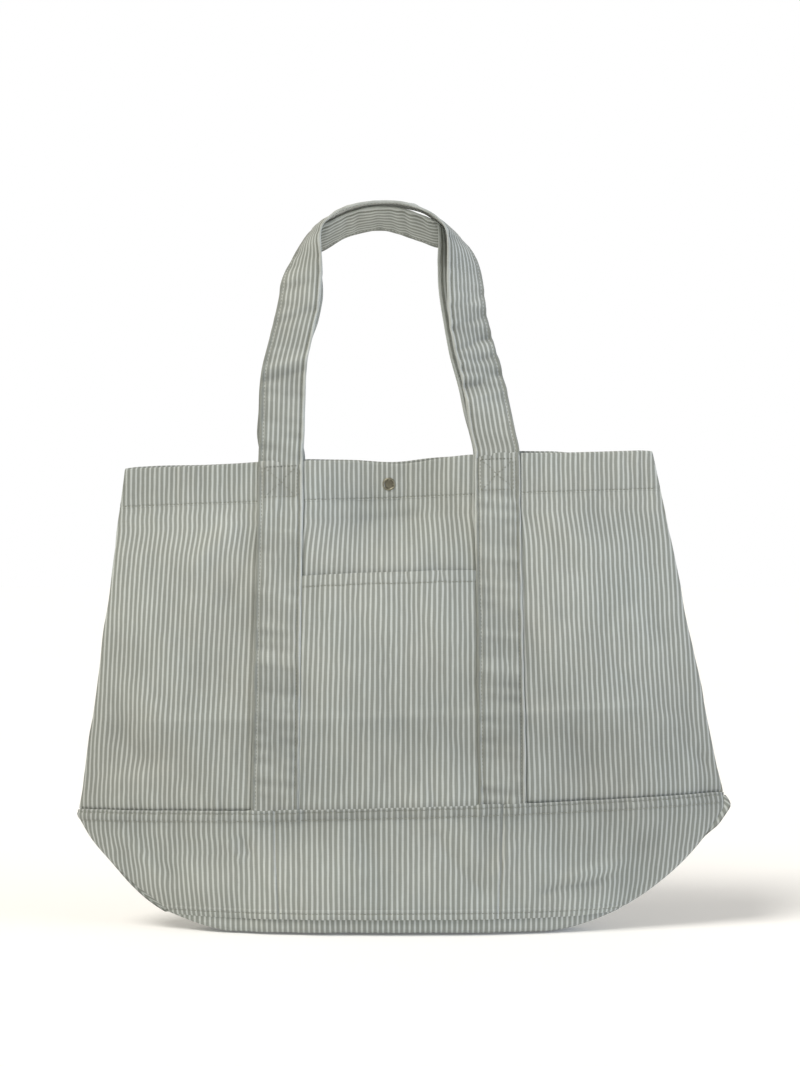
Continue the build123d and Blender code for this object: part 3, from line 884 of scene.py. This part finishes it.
def bottom_panel():
    """One sheet that wraps under the base, from the front band's lower edge to the back one's."""
    x = spaced(-BOTTOM_HALF, BOTTOM_HALF, CELL)[:, None]
    turn = np.linspace(0, pi, 61)[None, :]
    swing = np.sign(np.cos(turn)) * np.abs(np.cos(turn)) ** BOTTOM_SQUARENESS
    drop = np.abs(np.sin(turn)) ** BOTTOM_SQUARENESS
    front_lip, back_lip = surface(x, LIP + 0 * x, -1), surface(x, LIP + 0 * x, 1)
    front_y = np.minimum(front_lip[..., 1] + 0.5 * MM, -0.9 * MM)
    back_y = np.maximum(back_lip[..., 1] - 0.5 * MM, 0.9 * MM)
    middle_y, half_y = (front_y + back_y) / 2, (back_y - front_y) / 2
    floor_z = bottom_height(x)
    top_z = np.maximum(front_lip[..., 2], floor_z + 1.5 * MM)
    sag = 0.5 * MM * field(x, 40 * MM * turn, 30 * MM, 18 * MM, 61)
    points_x = front_lip[..., 0] + 0 * turn
    points_y = middle_y - half_y * swing * (1 - 0.10 * drop)
    points_z = top_z - (top_z - floor_z) * drop + np.abs(sag) * drop
    middle = np.stack(np.broadcast_arrays(points_x, points_y, points_z), axis=-1)
    normal, run = lie_of(middle)
    points_in = (normal * (np.array([0, 0, 60 * MM]) - middle)).sum(axis=-1, keepdims=True) > 0
    inward = np.where(points_in, normal, -normal)
    uvs = np.stack([middle[..., 0] * 0.93, run], axis=-1)
    # painted shade on the upper part, where it runs up under the bands' lower edges
    worn_and_shaded = 1 - 0.12 * smooth((middle[..., 2] - 9 * MM) / (8 * MM))
    worn_and_shaded = worn_and_shaded + 0.03 * field(middle[..., 0], run, 30 * MM, 20 * MM, 62)
    piece = shell("bottom_panel_cloth", middle, middle + inward * BOTTOM_THICK, uvs, worn_and_shaded)
    dress(piece, COTTON)
    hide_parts("bottom_panel")
    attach(piece, "base")


def declare_strip(piece, node):
    """Hide the part that a narrow strip stands for, and keep the strip on the base."""
    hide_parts(node)
    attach(piece, "base")


def corner_fold(end, sign):
    """The folded corner of the base, cut on the bias: it shows past the bands' slanted edges."""
    z = levels(CREASE, CORNER_Z + 2 * MM, 2.5 * MM)[:, None]
    turn = np.linspace(-1, 1, 25)[None, :]
    if sign < 0:
        overhang = 2.5 * MM - 2.0 * MM * smooth((z - 45 * MM) / (30 * MM))
    else:
        top = smooth((z - 80 * MM) / (14 * MM)) * smooth((CORNER_Z + 8 * MM - z) / (14 * MM))
        overhang = 0.5 * MM + 5.5 * MM * top
    reach = half_width(z) + overhang - 24 * MM * np.abs(turn) ** 1.5
    held = np.minimum(reach, half_width(z))
    z = np.broadcast_to(z, held.shape)
    front, back = surface(sign * held, z, -1), surface(sign * held, z, 1)
    middle = np.where(turn[..., None] < 0, front, back)
    middle[..., 0] = (front[..., 0] + back[..., 0]) / 2 + sign * (reach - held)
    middle[..., 1] += np.sign(turn) * 0.7 * MM * np.minimum(np.abs(turn) * 5, 1) ** 0.5
    middle[..., 2] = (front[..., 2] + back[..., 2]) / 2
    normal, run = lie_of(middle)
    normal = np.where(normal[..., :1] * sign < 0, -normal, normal)
    uvs = np.stack([run, middle[..., 2]], axis=-1)
    # the left fold is a little darker: painted shade
    worn_and_shaded = 1 + 0.05 * field(z, run, 12 * MM, 12 * MM, 85 + sign) - 0.05 * (sign < 0)
    piece = shell(f"{end}_corner_fold_cloth", middle, middle - normal * 0.9 * MM, uvs, worn_and_shaded)
    dress(piece, COTTON_BIAS)
    declare_strip(piece, f"{end}_corner_fold")


def side_tape(end, sign):
    """The tape that binds a side seam, inside the bag."""
    z = spaced(SEAM + 1 * MM, RIM - 2 * MM, 3 * MM)[:, None]
    x = sign * (half_width(z) - 13 * MM + 11.5 * MM * np.linspace(0, 1, 9)[None, :])
    z = np.broadcast_to(z, x.shape)
    seam = surface(sign * half_width(z), z, -1)
    wave = 0.5 * MM * field(z, x, 16 * MM, 200 * MM, 81 + sign)
    middle = np.stack([x + seam[..., 0] - sign * half_width(z), wave, seam[..., 2]], axis=-1)
    thick = np.stack([0 * x, 0.5 * MM + 0.1 * MM * field(z, x, 9 * MM, 9 * MM, 83), 0 * x], axis=-1)
    piece = shell(f"{end}_side_tape", middle - thick, middle + thick, middle[..., ::2], 1 + 0 * x)
    dress(piece, TAPE)
    declare_strip(piece, f"{end}_side_binding")


bottom_panel()
for end, sign in ENDS:
    corner_fold(end, sign)
    side_tape(end, sign)


# ---- handles ----
# How each handle hangs: the strap's inner edge and its outer edge, each as x, y and z in millimetres,
# from the left rim to the right. At its two shoulders the strap rolls over on the diagonal, so that
# its inner edge comes to the top and to the front.
EDGES = {
    "front": (
        (-80, -18, 466, -119.5, -18, 466), (-79, -19, 490, -119, -18, 490),
        (-77, -19, 530, -117, -17, 528), (-71, -19, 560, -110, -15, 555),
        (-65, -19, 589, -103.5, -13, 583), (-64, -19, 612, -100, -8, 604), (-64.5, -20, 634, -92, 4, 627),
        (-64.5, -22.5, 650, -83, 10, 645), (-62, -24, 659, -74, 12.5, 657), (-54, -25, 667, -62, 13, 663),
        (-35, -26.5, 676, -38, 13.5, 674.5), (-8, -27, 680, -9, 13, 681), (13, -27, 678.5, 13, 13, 679.5),
        (33, -26.5, 672.5, 36, 13.5, 673), (44, -26, 666.5, 50, 13, 661), (52, -25, 659, 60, 12.5, 656),
        (55.5, -24, 650, 70, 11, 646.5), (56, -23, 640, 77.5, 9, 637), (55.5, -22, 625.5, 84, 6, 623),
        (55, -21.5, 608, 87, 3, 608), (55.5, -21, 590, 89, 1, 593), (57, -21, 573, 91.5, -1, 577),
        (59, -21, 556, 95.5, -3, 560), (62, -21, 539.5, 100, -5, 544),
        (66.5, -20.5, 522.5, 105.5, -7, 526), (70, -20, 506, 109.5, -9, 508),
        (73.5, -19, 489, 112.5, -12, 490), (77, -18, 467, 116.5, -17, 468),
    ),
    "back": (
        (-84, 18, 466, -124, 18, 466), (-82.5, 17.5, 488, -122.5, 17.5, 488),
        (-82, 17, 512, -122, 17, 510), (-76, 15, 548, -116, 17, 543), (-67.5, 13, 573, -107, 17, 566),
        (-63.5, 10, 595, -101.5, 18, 586), (-64.5, 8, 620, -99, 22, 609), (-66, 4, 641, -92, 27, 623),
        (-65.5, 1, 657, -79, 28, 634), (-53, -3, 665.5, -60, 29, 643), (-33, -6, 674.2, -40, 30, 654.5),
        (-8, -7, 678, -10, 30, 660.5), (15, -6.5, 675.6, 15, 30, 655.5), (30, -5, 670.2, 31, 30, 650.5),
        (41, -3.5, 665.4, 50, 29, 644.5), (46.5, -2, 662.5, 66, 27.5, 650), (47, 0, 650, 77, 24, 636),
        (46.5, 3, 627, 83, 19, 620), (47.5, 6, 600, 87, 15, 595), (51.5, 9, 575, 91, 14, 571),
        (58, 12, 541, 97.5, 15, 538), (66.5, 15, 510, 106.5, 16, 508), (73, 17, 480, 113, 17.5, 479),
        (77, 18, 466, 117, 18, 466),
    ),
}
# Dents across a handle: left or right leg, height, depth and half width in millimetres.
HANDLE_CREASES = {
    "front": (
        (-1, 530, 2.2, 5), (-1, 519, -1.8, 4), (-1, 605, -1.0, 5), (-1, 575, -1.0, 4), (1, 589, -1.2, 4),
        (1, 570, -1.3, 3.5), (1, 549, -1.8, 3.5), (1, 533, -1.2, 3), (1, 514, -2.0, 4), (1, 501, 1.4, 4),
    ),
}
HANDLE_STEPS = 270


def through(stations, count):
    """Smooth curves through stations of inner and outer edge points, count of them evenly spaced."""
    knots = distance_along((stations[:, :3] + stations[:, 3:]) / 2)
    slopes = np.gradient(stations, knots, axis=0)
    t = np.linspace(0, 1, 16, endpoint=False)[:, None]
    curve = []
    for k in range(len(stations) - 1):
        a, b, span = stations[k], stations[k + 1], knots[k + 1] - knots[k]
        bend_a, bend_b = slopes[k] * span, slopes[k + 1] * span
        keep = 2 * t**3 - 3 * t**2 + 1
        curve.append(a * keep + b * (1 - keep) + bend_a * (t**3 - 2 * t**2 + t) + bend_b * (t**3 - t**2))
    curve = np.concatenate(curve + [stations[-1:]])
    run = distance_along((curve[:, :3] + curve[:, 3:]) / 2)
    where = np.linspace(0, run[-1], count)
    edges = np.stack([np.interp(where, run, curve[:, k]) for k in range(6)], axis=-1)
    return edges[:, :3], edges[:, 3:], where


def strap_feet(side):
    """Both edges of the strap where it leaves its wall, at the left rim and at the right."""
    z = np.array([RIM - 3 * MM, RIM + 2 * MM])
    out = (STRAP_IN + STRAP_OUT) / 2 + 0 * z
    feet = []
    for sign in (-1, 1):
        edges = [on_wall(sign * (STRAP_X + half) + 0 * z, z, side, out) for half in (-STRAP_HALF, STRAP_HALF)]
        feet.append(np.concatenate(edges, axis=1))
    return feet[0], feet[1][::-1]


def handle_bend(wall, side, across, length, height):
    """How the middle of a handle's cloth stands off its spine: slack, and dented here and there."""
    bend = 0.9 * MM * field(across, length, 50 * MM, 28 * MM, 41 + side)
    for sign, crease_z, deep, size in HANDLE_CREASES.get(wall, ()):
        slope = height[:, 1:] - crease_z * MM + 0.25 * across * sign
        bend = bend + deep * MM * bump(slope / (size * MM)) * (np.sign(height[:, :1]) == sign)
    return bend


def handle(wall, side):
    """The free loop of a strap, from rim to rim, with a row of stitching along each edge."""
    left_foot, right_foot = strap_feet(side)
    stations = np.concatenate([left_foot, np.array(EDGES[wall]) * MM, right_foot])
    inner_edge, outer_edge, run = through(stations, HANDLE_STEPS)
    spine = (inner_edge + outer_edge) / 2
    width = unit(inner_edge - outer_edge)
    normal = unit(np.cross(unit(np.gradient(spine, axis=0)), width))
    normal *= np.sign(normal[:1, 1:2] * side)
    across = levels(-STRAP_HALF, STRAP_HALF, 2.5 * MM, STRAP_LINES)[None, :]
    length = run[:, None]
    bend = handle_bend(wall, side, across, length, spine[:, ::2])
    cupped = 1.2 * MM * (1 - (across / STRAP_HALF) ** 2) * smooth((spine[:, 2:3] - 0.52) / 0.05)
    lift = (bend + cupped) * smooth((length - 6 * MM) / (20 * MM))
    lift = lift * smooth((run[-1] - 6 * MM - length) / (20 * MM))
    centre = spine[:, None, :] + width[:, None, :] * across[..., None]
    relief = strap_relief(across, length, 31 + side)
    face = centre + normal[:, None, :] * (lift + STRAP_THICK / 2 - 0.1 * MM + relief)[..., None]
    rear = centre + normal[:, None, :] * (lift - STRAP_THICK / 2 + 0.1 * MM)[..., None]
    uvs = np.stack(np.broadcast_arrays(across + STRAP_HALF + STRAP_STRIPE, length), axis=-1)
    # painted shade in the handle's dents and painted highlights where it bulges out
    worn_and_shaded = 1 + strap_shade_and_tone(across, length, 31 + side) + 0.06 * np.clip(bend / MM, -2, 2)
    piece = shell(f"{wall}_handle_cloth", face, rear, uvs, worn_and_shaded)
    dress(piece, COTTON)
    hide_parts(f"{wall}_handle")
    threads = Threads()
    for line in STRAP_LINES:
        column = int(np.argmin(np.abs(across[0] - line)))
        threads.row(face[2:-2, column], np.broadcast_to(normal, face[:, column].shape)[2:-2])
        threads.row(rear[2:-2, column], -normal[2:-2])
    for item in (piece, threads.piece(f"{wall}_handle_stitching")):
        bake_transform(item)


for wall, side in WALLS:
    handle(wall, side)


# ---- snap ----
def turned(name, profile, centre, direction, steps=56):
    """A lathed piece: its profile is radius and height in millimetres, from the rim to the middle."""
    angles = np.arange(steps) * 2 * pi / steps
    rings = []
    for radius, height in profile:
        across, up = radius * np.cos(angles), radius * np.sin(angles)
        rings.append(np.stack([across, direction * height + 0 * angles, up], axis=-1) * MM)
    points = np.concatenate(rings) + np.asarray(centre)
    faces = []
    for k in range(len(profile) - 1):
        low = k * steps + np.arange(steps)
        faces += np.stack([low, np.roll(low, -1), np.roll(low, -1) + steps, low + steps], axis=-1).tolist()
    faces.append(list(range((len(profile) - 1) * steps, len(profile) * steps)))
    faces.append(list(range(steps))[::-1])
    return oriented(mesh_object(name, points, faces))


ROLLED_CAP = (
    (5.0, 0.0), (5.7, 0.15), (6.05, 0.6), (6.0, 1.1), (5.6, 1.5), (5.0, 1.62), (4.5, 1.45), (4.2, 1.05),
    (4.0, 0.85), (3.6, 0.85), (2.6, 1.0), (1.4, 1.1), (0.4, 1.13),
)
cap = turned("snap_cap_face", ROLLED_CAP, (0, -(PINCH_DEPTH + PANEL_OUT), SNAP_Z), -1)
dress(cap, METAL)
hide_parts("snap_cap")
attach(cap, "front_wall")
for node in ("snap_socket", "snap_stud", "snap_post"):
    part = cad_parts[node]
    part.data.materials.clear()
    part.data.materials.append(METAL)


# ---- stage, light and camera ----
SURROUND = 0.5
FLOOR_RADIUS = 14.0
LENS = 79.0
EYE = (0.0103, -2.2, 0.3718)


def stage_floor():
    material, tree, shader = start_material("pale_paper")
    grain = add(tree, "ShaderNodeTexNoise", Scale=90.0, Detail=3.0)
    colour = add(tree, "ShaderNodeMix", COLOURS, Factor=grain, i6=linear("#f8f8f7"), i7=linear("#fcfcfb"))
    plug(tree, shader, Base_Color=colour.outputs[2], Roughness=0.9)
    plug(tree, shader, Emission_Color=(1, 1, 1, 1), Emission_Strength=0.1)
    angles = np.arange(96) * 2 * pi / 96
    across, deep = FLOOR_RADIUS * np.cos(angles), FLOOR_RADIUS * np.sin(angles)
    points = np.stack([across, deep, 0 * angles - 0.1 * MM], axis=-1)
    floor = mesh_object("floor", points, [list(range(96))])
    floor.data.materials.append(material)


def sun(name, towards, softness, strength, colour):
    """A wide soft light that comes from that direction."""
    data = bpy.data.lights.new(name, "SUN")
    data.angle, data.energy, data.color = radians(softness), strength, linear(colour)[:3]
    light = bpy.data.objects.new(name, data)
    bpy.context.scene.collection.objects.link(light)
    light.rotation_euler = (-Vector(towards)).to_track_quat("-Z", "Y").to_euler()


def surround():
    """An even warm light from all round, seen as plain white."""
    world = bpy.data.worlds.new("white_surround")
    world.use_nodes = True
    tree = world.node_tree
    seen = add(tree, "ShaderNodeLightPath").outputs["Is Camera Ray"]
    colour = add(tree, "ShaderNodeMix", COLOURS, Factor=seen, i6=linear("#fff8ec"), i7=(1, 1, 1, 1))
    share = {"operation": "MULTIPLY_ADD"}
    strength = add(tree, "ShaderNodeMath", share, i0=seen, i1=1 - SURROUND, i2=SURROUND)
    plug(tree, tree.nodes["Background"], Color=colour.outputs[2], Strength=strength)
    bpy.context.scene.world = world


stage_floor()
surround()
sun("key", (-1.1, -1.15, 2.0), 24, 2.1, "#fffbf4")
sun("fill", (2.2, -0.9, 0.35), 40, 1.6, "#ccdeff")
bpy.context.scene.view_settings.view_transform = "Standard"

camera = bpy.data.cameras.new("camera")
camera.lens = LENS
eye = bpy.data.objects.new("camera", camera)
eye.location = EYE
eye.rotation_euler = (pi / 2, 0, 0)
bpy.context.scene.collection.objects.link(eye)
bpy.context.scene.camera = eye
